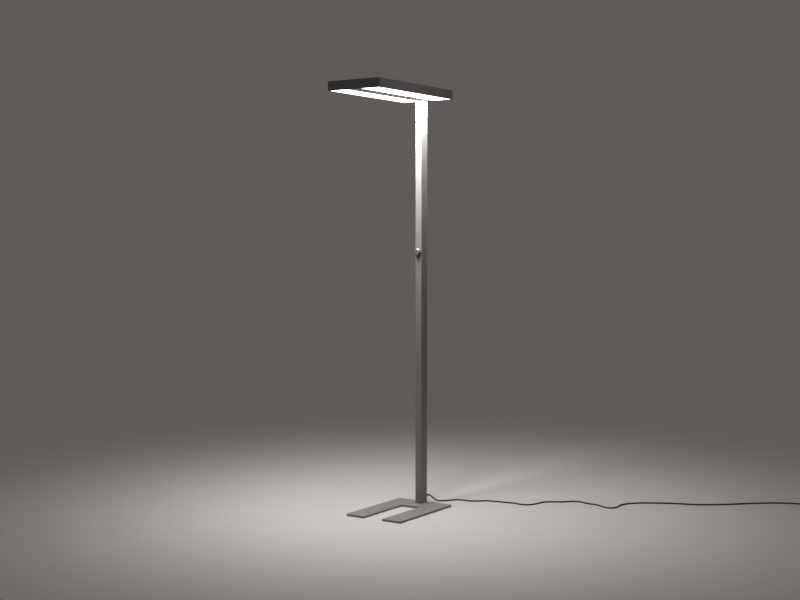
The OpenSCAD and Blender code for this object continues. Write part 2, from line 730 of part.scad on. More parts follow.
spine_bracket_side = 4;
spine_bracket_w = channel_w - 2 * spine_bracket_side;
spine_bracket_reach = 14;
spine_bracket_l = lip_w - rail_wall + spine_bracket_reach;
spine_bracket_top = 6;
spine_bracket_h = ledge_z - floor_t - spine_bracket_top;
spine_screw_in = lip_w + spine_bracket_reach / 2;
spine_screw_places = [head_front + spine_screw_in, head_back - spine_screw_in];

module spine_brackets() color([0.6, 0.6, 0.62]) difference() {
    for (s = [-1, 1]) translate([0, s > 0 ? head_back - rail_wall : head_front + rail_wall, head_z + floor_t])
        scale([1, -s, 1]) translate([-spine_bracket_w / 2, 0, 0]) union() {
            cube([spine_bracket_w, spine_bracket_l, bracket_t]);
            cube([spine_bracket_w, bracket_t, spine_bracket_h]);
        }
    for (p = spine_screw_places) floor_screw_hole(p, bracket_t);
}

module spine_screws() color([0.7, 0.7, 0.72]) for (p = spine_screw_places) floor_screw(p, bracket_t);

mount_plate_edge = 2;
mount_plate_y1 = (block_pitch_y + long_head_d) / 2 + mount_plate_edge;
mount_plate_w = channel_w - 2 * panel_gap;

module mount_plate() color([0.65, 0.65, 0.67]) difference() {
    translate([-mount_plate_w / 2, mount_plate_y1 - mount_plate_l, head_z + floor_t])
        cube([mount_plate_w, mount_plate_l, mount_plate_t]);
    post_screw_ways(floor_t + mount_plate_t);
    cable_ways(floor_t + mount_plate_t);
}

module head_screws() color([0.7, 0.7, 0.72]) at_block_screws()
    translate([0, 0, head_z + floor_t + mount_plate_t + long_head_h]) rotate([180, 0, 0])
        screw(long_screw_d, floor_t + mount_plate_t + long_screw_l - over, long_head_d, long_head_h);

module side(s) scale([s, 1, 1]) children();

module light_panel(z) translate([panel_x0, panel_y0, z])
    cube([panel_x1 - panel_x0, panel_y1 - panel_y0, panel_t]);

module diffuser_left() color([1, 1, 0.98]) side(-1) light_panel(head_z + lip_t);
module diffuser_right() color([1, 1, 0.98]) side(1) light_panel(head_z + lip_t);
module uplight_cover_left() color([0.92, 0.95, 0.97]) side(-1) light_panel(head_z + ledge_top);
module uplight_cover_right() color([0.92, 0.95, 0.97]) side(1) light_panel(head_z + ledge_top);

// The tray's plan, drawn in by t from its outside, between two levels of the head
module tray_prism(t, z0, z1) translate([tray_x0 + t, tray_y0 + t, head_z + z0])
    cube([tray_x1 - tray_x0 - 2 * t, tray_y1 - tray_y0 - 2 * t, z1 - z0]);

module light_tray() difference() {
    tray_prism(0, tray_z0, tray_z1);
    tray_prism(tray_wall, tray_z0 - over, tray_mid);
    tray_prism(tray_wall, tray_mid + tray_plate, tray_z1 + over);
    led_lead_ways(tray_x0 - over, tray_x0 + tray_wall + over);
}

module light_tray_left() color([0.95, 0.95, 0.95]) side(-1) light_tray();
module light_tray_right() color([0.95, 0.95, 0.95]) side(1) light_tray();

// A board with its two rows of LEDs, on top of z = 0
module led_board() translate([board_x, (tray_y0 + tray_y1) / 2, 0]) union() {
    translate([-board_w / 2, -board_l / 2, 0]) cube([board_w, board_l, board_t]);
    for (r = [-1, 1], i = [0 : led_count - 1])
        translate([r * led_row_pitch / 2, ((i + 0.5) / led_count - 0.5) * board_l, board_t + led_h / 2])
            cube([led_s, led_s, led_h], center = true);
}

module downlight_board(s) color([0.9, 0.92, 0.85]) side(s)
    translate([0, 0, head_z + tray_mid]) mirror([0, 0, 1]) led_board();
module uplight_board(s) color([0.9, 0.92, 0.85]) side(s)
    translate([0, 0, head_z + tray_mid + tray_plate]) led_board();
module downlight_board_left() downlight_board(-1);
module downlight_board_right() downlight_board(1);
module uplight_board_left() uplight_board(-1);
module uplight_board_right() uplight_board(1);

// ---- Driver, terminals and wires in the centre beam ----

tab_l = 10;
tab_t = 2;
driver_screw_places = [-driver_y + tab_l / 2, driver_end - tab_l / 2];

module driver() color([0.9, 0.9, 0.88]) difference() {
    union() {
        translate([-driver_w / 2, driver_end, head_z + floor_t]) cube([driver_w, driver_l, driver_h]);
        translate([-small_head_d, driver_end - tab_l, head_z + floor_t])
            cube([2 * small_head_d, driver_l + 2 * tab_l, tab_t]);
    }
    for (p = driver_screw_places) floor_screw_hole(p, tab_t);
}

module driver_screws() color([0.7, 0.7, 0.72]) for (p = driver_screw_places) floor_screw(p, tab_t);

module terminal_block() color([0.92, 0.92, 0.9])
    translate([-terminal_w / 2, terminal_back - terminal_l, head_z + floor_t])
        cube([terminal_w, terminal_l, terminal_h]);

wire_pitch = 3;
driver_wire_z = head_z + floor_t + driver_h / 2;

module driver_wires() color([0.5, 0.35, 0.2]) for (i = [-2 : 2])
    translate([i * wire_pitch, terminal_back - terminal_l, driver_wire_z]) rotate([90, 0, 0])
        cylinder(d = wire_d, h = driver_y - terminal_y - terminal_l, $fn = 16);

led_lead_x = driver_w / 2 - 4;
led_lead_r = 5;
led_lead_steps = 4;

function led_lead_route(level) = concat(
    [[led_lead_x, driver_end, level]],
    [for (k = [0 : led_lead_steps]) let (a = 90 * k / led_lead_steps)
        [led_lead_x + led_lead_r * (1 - cos(a)), lead_way_y + led_lead_r * (1 - sin(a)), level]],
    [[board_x - board_w / 2, lead_way_y, level]]
);

module led_lead_ways(x0, x1) for (s = [-1, 1], level = [down_lead_z, up_lead_z])
    translate([s > 0 ? x0 : -x1, lead_way_y, head_z + level]) rotate([0, 90, 0])
        cylinder(d = wire_d + 4 * fit_gap, h = x1 - x0);

module led_leads() color([0.8, 0.8, 0.2]) for (s = [-1, 1], level = [down_lead_z, up_lead_z])
    side(s) tube(led_lead_route(head_z + level), wire_d, 6, [0, -1, 0], [1, 0, 0]);

// ---- Mains cord, spare coil and plug ----

module cord() color([0.08, 0.08, 0.08]) tube(cord_path, cord_d, 8, [0, 1, 0], [1, 0, 0]);

module cord_coil() color([0.08, 0.08, 0.08]) tube(coil_route, cord_d, 6, [1, 0, 0], [0, -1, 0]);

module cord_tail() color([0.08, 0.08, 0.08]) tube(tail_route, cord_d, 8, [0, -1, 0], [0, -1, 0]);

tie_angle = coil_start - 360 * tie_turn;
tied_radii = [for (k = [0 : floor(coil_turns - tie_turn)]) coil_radius(tie_turn + k)];
tie_in = min(tied_radii) - cable_r - tie_side_gap;
tie_out = max(tied_radii) + cable_r + tie_side_gap;
tie_top = coil_z + turn_step + cable_r + tie_gap;

module coil_tie() color([0.15, 0.15, 0.15])
    translate([coil_centre.x, coil_centre.y, (tie_top + tie_t) / 2]) rotate(tie_angle)
        translate([(tie_in + tie_out) / 2, tie_w / 2, 0]) rotate([90, 0, 0])
            linear_extrude(tie_w) difference() {
                rounded_plan(tie_out - tie_in + 2 * tie_t, tie_top + tie_t, tie_corner_r + tie_t);
                rounded_plan(tie_out - tie_in, tie_top - tie_t, tie_corner_r);
            }

// The plug: a tapered sleeve on the cord, a grip, and a flange that carries the pins
sleeve_l = 13;
sleeve_wall = 1.5;
sleeve_swell = 1.5;
grip_r = 12.5;
grip_swell = 1;
grip_rise = 3;
flange_l = 12;
flange_rise = 6;
notch_w = 6;
notch_depth = 3;
pin_root = 9;

module along_plug(s) translate([coil_end_x, plug_y - s, plug_z]) rotate([90, 0, 0]) children();

module plug_body() color([0.08, 0.08, 0.08]) difference() {
    along_plug(0) rotate_extrude($fn = 64) polygon([
        [0, 0], [cable_r + sleeve_wall, 0], [cable_r + sleeve_wall + sleeve_swell, sleeve_l],
        [grip_r, sleeve_l + grip_rise], [grip_r + grip_swell, plug_l - flange_l - flange_rise],
        [plug_d / 2, plug_l - flange_l], [plug_d / 2, plug_l], [0, plug_l]
    ]);
    for (x = [-1, 1]) along_plug(plug_l - pin_root) translate([x * pin_pitch / 2, 0, 0])
        cylinder(d = pin_d, h = pin_root + over);
    for (m = [0, 1]) along_plug(plug_l - flange_l) mirror([0, m, 0])
        translate([-notch_w / 2, plug_d / 2 - notch_depth, 0]) cube([notch_w, notch_depth + over, plug_l]);
}

module plug_pins() color([0.8, 0.78, 0.7]) for (x = [-1, 1]) translate([x * pin_pitch / 2, 0, 0]) union() {
    along_plug(plug_l - pin_root) cylinder(d = pin_d, h = pin_root + pin_l - pin_d / 2);
    along_plug(plug_l + pin_l - pin_d / 2) sphere(d = pin_d);
}

base_plate();
base_glides();
base_screws();
foot_block();
foot_cross_screws();
post();
head_block();
head_cross_screws();
strain_relief();
inner_cable();
encoder_case();
encoder_nut();
switch_plunger();
encoder_shaft();
control_knob();
knob_screw();
control_lead();
front_rail();
back_rail();
left_rail();
right_rail();
corner_brackets();
corner_screws();
spine();
spine_cover();
spine_brackets();
spine_screws();
mount_plate();
head_screws();
diffuser_left();
diffuser_right();
uplight_cover_left();
uplight_cover_right();
light_tray_left();
light_tray_right();
downlight_board_left();
downlight_board_right();
uplight_board_left();
uplight_board_right();
driver();
driver_screws();
terminal_block();
driver_wires();
led_leads();
cord();
cord_coil();
coil_tie();
cord_tail();
plug_body();
plug_pins();
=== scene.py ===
import math

import bpy
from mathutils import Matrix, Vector


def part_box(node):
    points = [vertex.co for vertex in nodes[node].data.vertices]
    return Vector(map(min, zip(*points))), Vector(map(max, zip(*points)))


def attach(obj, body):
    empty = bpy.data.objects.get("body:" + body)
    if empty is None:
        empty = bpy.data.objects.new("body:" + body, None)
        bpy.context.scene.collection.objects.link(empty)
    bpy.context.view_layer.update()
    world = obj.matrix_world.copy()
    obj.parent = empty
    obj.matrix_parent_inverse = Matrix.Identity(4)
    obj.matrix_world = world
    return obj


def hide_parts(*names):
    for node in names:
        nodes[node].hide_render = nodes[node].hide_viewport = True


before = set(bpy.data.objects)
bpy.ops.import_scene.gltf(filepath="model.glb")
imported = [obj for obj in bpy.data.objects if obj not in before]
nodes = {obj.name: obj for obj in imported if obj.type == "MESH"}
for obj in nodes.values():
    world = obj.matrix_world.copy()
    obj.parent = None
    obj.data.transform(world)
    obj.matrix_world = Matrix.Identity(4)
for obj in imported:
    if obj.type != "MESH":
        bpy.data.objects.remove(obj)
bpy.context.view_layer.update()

# ---- Camera ----
# The photograph's camera: a long standard lens at the height of a sitting eye, 6.1 m from the post. It looks
# down by less than three degrees, so the underside of the head shows as a thin sliver.

CAMERA_PLACE = (3.2819, -5.1659, 1.2607)
CAMERA_DOWN = 2.70
CAMERA_TURN = 33.37
CAMERA_LENS = 58.5

bpy.ops.object.camera_add(
    location=CAMERA_PLACE, rotation=(math.radians(90 - CAMERA_DOWN), 0, math.radians(CAMERA_TURN)))
bpy.context.object.data.lens = CAMERA_LENS
bpy.context.scene.camera = bpy.context.object
bpy.ops.object.select_all(action="DESELECT")

# ---- Mains cord ----
# A black three-core mains cord of 7 mm, extruded in soft PVC. It leaves the strain relief at the back of the
# post, drops to the floor and lies there in loose waves. Its spare length is wound as a coil of two layers.

CORD_D = 0.007
FLOOR_GAP = 0.0001
LAY_Z = FLOOR_GAP + CORD_D / 2
RELIEF_TIP = (0, 0.062, 0.036)
ROUTE_DROP = [(0.001, 0.071, 0.0352), (0.005, 0.085, 0.026), (0.013, 0.098, 0.013), (0.025, 0.108, 0.0052)]
ROUTE_FLOOR = [
    (0.040, 0.116), (0.058, 0.131), (0.073, 0.156), (0.093, 0.180), (0.125, 0.187), (0.162, 0.188),
    (0.193, 0.208), (0.222, 0.236), (0.262, 0.244), (0.308, 0.250), (0.360, 0.258), (0.408, 0.251),
    (0.443, 0.269), (0.456, 0.310), (0.467, 0.356), (0.502, 0.387), (0.543, 0.411), (0.573, 0.447),
    (0.608, 0.460), (0.651, 0.442), (0.700, 0.438), (0.738, 0.420), (0.764, 0.407), (0.786, 0.407),
    (0.802, 0.420), (0.808, 0.443), (0.803, 0.500), (0.822, 0.550), (0.870, 0.597), (0.985, 0.662),
    (1.105, 0.705), (1.215, 0.785), (1.325, 0.890), (1.435, 0.965), (1.530, 0.992)]
COIL_CENTRE = (1.590, 0.948)
COIL_R = 0.046
COIL_TURNS = 3.25
COIL_START = 90
COIL_STEPS = 24
TURN_STEP = 0.0079
RISE_TURNS = 0.5
TIE_T = 0.0008
TIE_GAP = 0.00025
COIL_Z = TIE_T + TIE_GAP + CORD_D / 2
TAIL_DROP = 0.070
TAIL_EASE = 0.001
PLUG_FACE_R = 0.0185
PLUG_Z = FLOOR_GAP + PLUG_FACE_R
PLUG_Y = COIL_CENTRE[1] - CORD_D - TAIL_DROP


def coil_radius(turn):
    """The lower layer winds inwards, and the upper layer winds out again."""
    return COIL_R - TURN_STEP * (COIL_TURNS / 2 - abs(turn - COIL_TURNS / 2))


def coil_point(turn):
    """A point of the coil. The cord climbs to the upper layer in the middle of its turns."""
    angle = math.radians(COIL_START - 360 * turn)
    lift = min(max((turn - COIL_TURNS / 2) / RISE_TURNS + 0.5, 0), 1)
    radius = coil_radius(turn)
    return (COIL_CENTRE[0] + radius * math.cos(angle), COIL_CENTRE[1] + radius * math.sin(angle),
            COIL_Z + TURN_STEP * lift)


coil = [coil_point(step / COIL_STEPS) for step in range(round(COIL_TURNS * COIL_STEPS) + 1)]
coil_end = coil[-1]
tail = [(coil_end[0], y, z) for y, z in [
    (coil_end[1] - CORD_D, coil_end[2]), (coil_end[1] - 3 * CORD_D, coil_end[2] + TAIL_EASE),
    (PLUG_Y + 3 * CORD_D, PLUG_Z - TAIL_EASE), (PLUG_Y + CORD_D, PLUG_Z), (PLUG_Y, PLUG_Z)]]
route = [Vector(p) for p in [RELIEF_TIP, *ROUTE_DROP, *[(x, y, LAY_Z) for x, y in ROUTE_FLOOR], *coil, *tail]]

bpy.ops.curve.primitive_bezier_curve_add()
cord = bpy.context.object
cord.name = "mains_cord"
line = cord.data.splines[0]
line.bezier_points.add(len(route) - 2)
# Each pair of handles lies along the line between the neighbours, so the points join in one smooth curve.
for i, point in enumerate(line.bezier_points):
    along = (route[min(i + 1, len(route) - 1)] - route[max(i - 1, 0)]) / 6
    point.handle_left_type = point.handle_right_type = "FREE"
    point.co = route[i]
    point.handle_left = route[i] - along
    point.handle_right = route[i] + along
cord.data.resolution_u = 6
cord.data.bevel_depth = CORD_D / 2
cord.data.bevel_resolution = 6
cord.data.use_fill_caps = True


class Shade:
    """A socket of a material. Sums and products of sockets add Math nodes, and node() adds any other node."""

    def __init__(self, tree, socket=None):
        self.tree = tree
        self.socket = socket

    def node(self, kind, settings={}, inputs={}, output=0):
        """Adds a node: its settings come first, and then the values or links of its sockets."""
        made = self.tree.nodes.new("ShaderNode" + kind)
        for name, value in settings.items():
            setattr(made, name, value)
        for name, value in inputs.items():
            if isinstance(value, Shade):
                self.tree.links.new(value.socket, made.inputs[name])
            else:
                made.inputs[name].default_value = value
        return Shade(self.tree, made.outputs[output] if made.outputs else None)

    def maths(self, operation, *others):
        """Adds a Math node."""
        return self.node("Math", {"operation": operation}, dict(enumerate((self, *others))))

    def __add__(self, other):
        return self.maths("ADD", other)

    def __sub__(self, other):
        return self.maths("SUBTRACT", other)

    def __mul__(self, other):
        return self.maths("MULTIPLY", other)

    def __radd__(self, other):
        return self + other

    def __rmul__(self, other):
        return self * other

    def __rsub__(self, other):
        return self * -1 + other

    def size(self):
        """This socket without its sign."""
        return self.maths("ABSOLUTE")

    def rise(self, low, high):
        """0 where this socket is below low, 1 where it is above high, and smooth from one to the other."""
        inputs = {"Value": self, "From Min": low, "From Max": high}
        return self.node("MapRange", {"interpolation_type": "SMOOTHSTEP"}, inputs)

    def tint(self, first, second):
        """Goes from the first colour to the second as this socket goes from 0 to 1."""
        # Mix has sockets of one name for each type of value. These are the ones for colours.
        return self.node("Mix", {"data_type": "RGBA"}, {0: self, 6: first, 7: second}, output=2)

    def axes(self):
        """The three coordinates of this place."""
        split = self.node("SeparateXYZ", {}, {"Vector": self}).socket.node
        return [Shade(self.tree, output) for output in split.outputs]

    def stretch(self, *scale):
        """Scales the place, so that what is drawn on it is longer along an axis with a small scale."""
        return self.node("Mapping", {}, {"Vector": self, "Scale": scale})

    def noise(self, scale, detail=2.0, roughness=0.5):
        """Soft spots, with so many to the metre: between 0 and 1, and mostly about a half."""
        inputs = {"Vector": self, "Scale": scale, "Detail": detail, "Roughness": roughness}
        return self.node("TexNoise", {}, inputs)

    def bump(self, depth):
        """Takes this socket as relief of the depth given."""
        return self.node("Bump", {}, {"Height": self, "Distance": depth})


def finish(name, paint):
    """A material. The function paint is given the place on the piece, and returns the sockets to set."""
    material = bpy.data.materials.new(name)
    material.use_nodes = True
    material.node_tree.nodes.clear()
    place = Shade(material.node_tree).node("TexCoord", output="Object")
    shader = place.node("BsdfPrincipled", {}, paint(place))
    place.node("OutputMaterial", {}, {"Surface": shader})
    return material


def rgb(*colour):
    return (*colour, 1.0)


def soft_pvc(colour, dust, skin_scale=2600.0):
    """Moulded or extruded PVC or rubber: a fine dull skin, rubbed in soft patches, with a trace of dust."""
    def paint(place):
        patches = place.noise(30.0, 3.0).rise(0.45, 0.75)
        return {
            "Base Color": (patches * 0.6).tint(colour, dust),
            "Roughness": 0.44 + patches * 0.18,
            "Normal": place.noise(skin_scale, 2.0).bump(0.00003)}
    return paint


cord.data.materials.append(finish("cord_pvc", soft_pvc(rgb(0.012, 0.011, 0.011), rgb(0.032, 0.030, 0.029))))
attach(cord, "lamp")
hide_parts("cord", "cord_coil", "cord_tail")

# ---- Plug ----
# The round two-pole plug at the end of the cord, moulded in PVC round the cord and its two pins. A grooved
# sleeve lets the cord bend, ribs give the fingers a hold, and two notches in the flange guide it home.

PLUG_LENGTH = 0.048
# The sleeve and the grip, each by the distance along the plug and the radius of its two ends.
SLEEVE = [(0, 0.0050), (0.013, 0.0065)]
SLEEVE_GROOVES = 3
GROOVE_DEPTH = 0.0007
GRIP = [(0.016, 0.0125), (0.030, 0.0135)]
GRIP_RIBS = 4
RIB_HEIGHT = 0.0005
FLANGE_LENGTH = 0.012
NOTCH_WIDTH = 0.006
NOTCH_DEPTH = 0.003
PLUG_EASE = 0.0004
MERGE_GAP = 0.000001


def turned(name, place, turn, rings, sides, hollow=False):
    """Turns a round piece. Each ring gives its distance along the axis and its radius."""
    bpy.ops.object.select_all(action="DESELECT")
    bpy.ops.mesh.primitive_circle_add(
        vertices=sides, radius=rings[0][1], location=place, rotation=turn,
        fill_type="NOTHING" if hollow else "NGON")
    piece = bpy.context.object
    piece.name = name
    axis = piece.rotation_euler.to_matrix() @ Vector((0, 0, 1))
    bpy.ops.object.mode_set(mode="EDIT")
    bpy.ops.transform.translate(value=axis * rings[0][0])
    for (before, inner), (along, radius) in zip(rings, rings[1:]):
        bpy.ops.mesh.extrude_region_move(TRANSFORM_OT_translate={"value": axis * (along - before)})
        bpy.ops.transform.resize(value=[radius / inner] * 3)
    bpy.ops.mesh.select_all(action="SELECT")
    bpy.ops.mesh.remove_doubles(threshold=MERGE_GAP)
    bpy.ops.mesh.normals_make_consistent(inside=False)
    bpy.ops.object.mode_set(mode="OBJECT")
    bpy.ops.object.transform_apply()
    return piece


def modified(piece, kind, **settings):
    """Adds a modifier, sets it and applies it."""
    bpy.context.view_layer.objects.active = piece
    modifier = piece.modifiers.new(kind.title(), kind)
    for name, value in settings.items():
        setattr(modifier, name, value)
    bpy.ops.object.modifier_apply(modifier=modifier.name)


def shaded_smooth(piece, angle):
    """Shades the curves smooth, while each flat face keeps its own normal right up to its edges."""
    bpy.ops.object.select_all(action="DESELECT")
    piece.select_set(True)
    bpy.context.view_layer.objects.active = piece
    bpy.ops.object.shade_smooth_by_angle(angle=math.radians(angle))
    modified(piece, "WEIGHTED_NORMAL", weight=80, keep_sharp=True)


def edges_eased(piece, width, angle=30, segments=3):
    """Rounds the sharp edges and shades the rest smooth."""
    modified(
        piece, "BEVEL", width=width, segments=segments, limit_method="ANGLE", angle_limit=math.radians(angle))
    shaded_smooth(piece, angle)


def cut_away(piece, cutter):
    """Takes the cutter's shape out of the piece, and then removes the cutter."""
    modified(piece, "BOOLEAN", object=cutter, operation="DIFFERENCE", solver="EXACT")
    bpy.data.objects.remove(cutter)


def between(start, end, t):
    """The pair of numbers that is a share t of the way from start to end."""
    return tuple(a + (b - a) * t for a, b in zip(start, end))


rings = [SLEEVE[0]]
for groove in range(SLEEVE_GROOVES):
    for share, sink in [(0.25, 0), (0.27, 1), (0.73, 1), (0.75, 0)]:
        along, radius = between(*SLEEVE, (groove + share) / SLEEVE_GROOVES)
        rings.append((along, radius - sink * GROOVE_DEPTH))
rings += [SLEEVE[1], GRIP[0]]
for rib in range(GRIP_RIBS):
    for share, swell in [(0.3, 0), (0.4, 1), (0.6, 1), (0.7, 0)]:
        along, radius = between(*GRIP, (rib + share) / GRIP_RIBS)
        rings.append((along, radius + swell * RIB_HEIGHT))
rings += [GRIP[1], (PLUG_LENGTH - FLANGE_LENGTH, PLUG_FACE_R), (PLUG_LENGTH, PLUG_FACE_R)]
plug = turned("mains_plug", (coil_end[0], PLUG_Y, PLUG_Z), (math.radians(90), 0, 0), rings, sides=64)
for side in (-1, 1):
    bpy.ops.mesh.primitive_cube_add(
        size=1, scale=(NOTCH_WIDTH, 2 * FLANGE_LENGTH, 2 * NOTCH_DEPTH),
        location=(coil_end[0], PLUG_Y - PLUG_LENGTH, PLUG_Z + side * PLUG_FACE_R))
    cut_away(plug, bpy.context.object)
edges_eased(plug, PLUG_EASE, segments=2)

plug.data.materials.append(finish("plug_pvc", soft_pvc(rgb(0.018, 0.016, 0.016), rgb(0.05, 0.047, 0.045))))
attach(plug, "lamp")
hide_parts("plug_body")


def nickel(place):
    """Nickel plate on brass, with fine streaks along the pins where they slide into a socket."""
    rubbed = place.noise(180.0, 3.0).rise(0.4, 0.7)
    streaks = place.stretch(1, 0.05, 1).noise(3000.0)
    return {"Base Color": rubbed.tint(rgb(0.62, 0.58, 0.5), rgb(0.7, 0.67, 0.6)), "Metallic": 1.0,
            "Roughness": 0.22 + rubbed * 0.14, "Normal": streaks.bump(0.00002)}


def painted(material, *names):
    """Gives the material to CAD pieces that show as they are."""
    for name in names:
        nodes[name].material_slots[0].material = material


painted(finish("plug_nickel", nickel), "plug_pins")

# ---- Coil tie ----
# A strap of black hook-and-loop fabric, wrapped once round all the turns of the coil. Its end is pressed down
# over its beginning.

TIE_WIDTH = 0.012
TIE_SIDE_GAP = 0.001
TIE_CORNER_R = 0.0024
TIE_OVERLAP = 0.0095
TIE_EASE = 0.00015
# The tie goes round the coil half a turn away from where the cord climbs to the upper layer.
TIE_TURN = (COIL_TURNS / 2 + 0.5) % 1
crossed = [coil_radius(TIE_TURN + k) for k in range(int(COIL_TURNS - TIE_TURN) + 1)]
tie_low = (min(crossed) - CORD_D / 2 - TIE_SIDE_GAP - TIE_T / 2 + TIE_CORNER_R, TIE_T / 2 + TIE_CORNER_R)
tie_high = (max(crossed) + CORD_D / 2 + TIE_SIDE_GAP + TIE_T / 2 - TIE_CORNER_R,
            COIL_Z + TURN_STEP + CORD_D / 2 + TIE_GAP + TIE_T / 2 - TIE_CORNER_R)


def strap_corner(x, y, start, radius=TIE_CORNER_R, steps=6):
    """A quarter turn of the strap about its corner, clockwise from the angle start."""
    angles = [math.radians(start - 90 * step / steps) for step in range(steps + 1)]
    return [(x + radius * math.cos(a), y + radius * math.sin(a)) for a in angles]


strap = [(tie_low[0] + TIE_CORNER_R / 2, tie_high[1] + TIE_CORNER_R)]
strap += strap_corner(tie_high[0], tie_high[1], 90)
strap += strap_corner(tie_high[0], tie_low[1], 0)
strap += strap_corner(tie_low[0], tie_low[1], -90)
strap += strap_corner(tie_low[0], tie_high[1], -180, TIE_CORNER_R + TIE_T)
strap += [(tie_low[0] + TIE_OVERLAP, tie_high[1] + TIE_CORNER_R + TIE_T)]

bpy.ops.object.select_all(action="DESELECT")
bpy.ops.curve.primitive_bezier_curve_add(
    location=(*COIL_CENTRE, 0), rotation=(math.radians(90), 0, math.radians(COIL_START - 360 * TIE_TURN)))
tie = bpy.context.object
tie.name = "coil_strap"
tie.data.splines.clear()
line = tie.data.splines.new("POLY")
line.points.add(len(strap) - 1)
for point, (x, y) in zip(line.points, strap):
    point.co = (x, y, 0, 1)
tie.data.dimensions = "2D"
tie.data.extrude = TIE_WIDTH / 2
bpy.ops.object.convert(target="MESH")
bpy.ops.object.transform_apply()
modified(tie, "SOLIDIFY", thickness=TIE_T, offset=0)
edges_eased(tie, TIE_EASE, angle=50, segments=2)


def loop_fabric(place):
    """Black looped fabric, with a painted highlight where the loops stand up."""
    loop_relief_and_highlight = place.noise(3200.0, 4.0, 0.7)
    # The relief of the loops also sets the colour: a painted highlight on the raised loops, darker between
    # them.
    return {"Base Color": loop_relief_and_highlight.rise(0.35, 0.75).tint(rgb(0.010, 0.010, 0.011), rgb(0.05, 0.05, 0.052)),
            "Roughness": 0.92, "Normal": loop_relief_and_highlight.bump(0.0002), "Sheen Weight": 0.25}


tie.data.materials.append(finish("strap_fabric", loop_fabric))
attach(tie, "lamp")
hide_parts("coil_tie")

# ---- Base plate ----
# One flat steel plate, laser cut to a U and 9 mm thick, with its edges broken. It has a fine-textured grey
# powder coat, and it stands 1 mm off the floor on seven rubber glides that are let into its underside.

PLATE_EASE = 0.0008
PLATE_COAT = rgb(0.238, 0.224, 0.214)
PLATE_FLECKS = 0.35
CAD_MERGE_GAP = 0.000002
CAD_FLAT_ANGLE = 0.5


def softened(node, name, width, material):
    """A copy of a CAD piece with its sharp edges eased, which takes its place."""
    piece = bpy.data.objects.new(name, nodes[node].data.copy())
    bpy.context.collection.objects.link(piece)
    bpy.ops.object.select_all(action="DESELECT")
    piece.select_set(True)
    bpy.context.view_layer.objects.active = piece
    bpy.ops.object.mode_set(mode="EDIT")
    bpy.ops.mesh.select_all(action="SELECT")
    bpy.ops.mesh.remove_doubles(threshold=CAD_MERGE_GAP)
    bpy.ops.mesh.dissolve_limited(angle_limit=math.radians(CAD_FLAT_ANGLE))
    bpy.ops.object.mode_set(mode="OBJECT")
    edges_eased(piece, width, angle=40, segments=2)
    piece.data.materials.clear()
    piece.data.materials.append(material)
    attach(piece, "lamp")
    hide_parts(node)


def shaded(colour, share):
    """The colour made darker or paler."""
    return rgb(*[c * share for c in colour[:3]])


def powder_coat(colour, roughness, flecks=0.0):
    """Baked powder: a fine orange peel with a sandy grain, slightly uneven in tone, with pale flecks."""
    def paint(place):
        peel = place.noise(380.0, 2.0)
        grain = place.noise(1100.0, 3.0, 0.6)
        cloud = place.noise(9.0, 2.0).rise(0.3, 0.7)
        tone = (cloud * 0.4 + grain.rise(0.35, 0.65) * 0.6).tint(shaded(colour, 0.86), shaded(colour, 1.12))
        spots = grain.rise(0.60, 0.72) * flecks
        return {
            "Base Color": spots.tint(tone, shaded(colour, 2.0)),
            "Roughness": roughness + (grain - 0.5) * 0.3 + (cloud - 0.5) * 0.06,
            "Normal": (peel * 0.4 + grain * 0.6).bump(0.00018)}
    return paint


plate_coat = finish("plate_coat", powder_coat(PLATE_COAT, 0.55, PLATE_FLECKS))
softened("base_plate", "base_u_plate", PLATE_EASE, plate_coat)

glide_rubber = soft_pvc(rgb(0.02, 0.02, 0.02), rgb(0.055, 0.052, 0.05), skin_scale=1800.0)
painted(finish("glide_rubber", glide_rubber), "base_glides")

# ---- Blocks, brackets and screws ----
# A milled aluminium block fills each end of the post, and milled brackets join the rails and the beam of
# the head. Zinc-plated screws hold them all. Two blackened countersunk screws go into each block through
# the back of the post.


def milled(colour, roughness):
    """Milled aluminium: fine parallel cutter marks in soft bands."""
    def paint(place):
        marks = place.stretch(1, 0.04, 1).noise(1500.0, 2.0)
        bands = place.noise(60.0).rise(0.3, 0.7)
        return {"Base Color": marks.tint(shaded(colour, 0.85), colour), "Metallic": 1.0,
                "Roughness": roughness + bands * 0.1, "Normal": marks.bump(0.00002)}
    return paint


def plated(colour, roughness):
    """Zinc plate or a black oxide on steel: clouded, and finely pitted where the head was formed."""
    def paint(place):
        cloud = place.noise(300.0, 3.0).rise(0.35, 0.7)
        return {"Base Color": cloud.tint(shaded(colour, 0.8), colour), "Metallic": 1.0,
                "Roughness": roughness + cloud * 0.15, "Normal": place.noise(4000.0).bump(0.00002)}
    return paint


painted(finish("milled_aluminium", milled(rgb(0.62, 0.62, 0.63), 0.35)),
        "foot_block", "head_block", "mount_plate", "corner_brackets", "spine_brackets")
painted(finish("zinc_screws", plated(rgb(0.56, 0.57, 0.6), 0.3)),
        "base_screws", "head_screws", "corner_screws", "spine_screws", "driver_screws")
painted(finish("black_screws", plated(rgb(0.08, 0.08, 0.085), 0.35)),
        "foot_cross_screws", "head_cross_screws")

# ---- Post ----
# One extruded aluminium tube, 33 by 52 mm and 1.9 m long, anodised in a satin grey. The die leaves very fine
# streaks along it, which the anodising keeps.

POST_COLOUR = rgb(0.25, 0.24, 0.23)


def satin_anodised(place):
    """Streaks of two widths along the tube, in an even satin grain."""
    streaks = place.stretch(1, 1, 0.004).noise(1400.0, 3.0, 0.6)
    wide = place.stretch(1, 1, 0.03).noise(120.0, 2.0)
    grain = place.noise(3500.0, 2.0)
    tone = (streaks * 0.5 + wide * 0.5).rise(0.3, 0.7)
    return {"Base Color": tone.tint(shaded(POST_COLOUR, 0.93), shaded(POST_COLOUR, 1.06)), "Metallic": 0.25,
            "Roughness": 0.42 + (streaks - 0.5) * 0.2 + (grain - 0.5) * 0.1,
            "Normal": (streaks * 0.7 + grain * 0.3).bump(0.00002)}


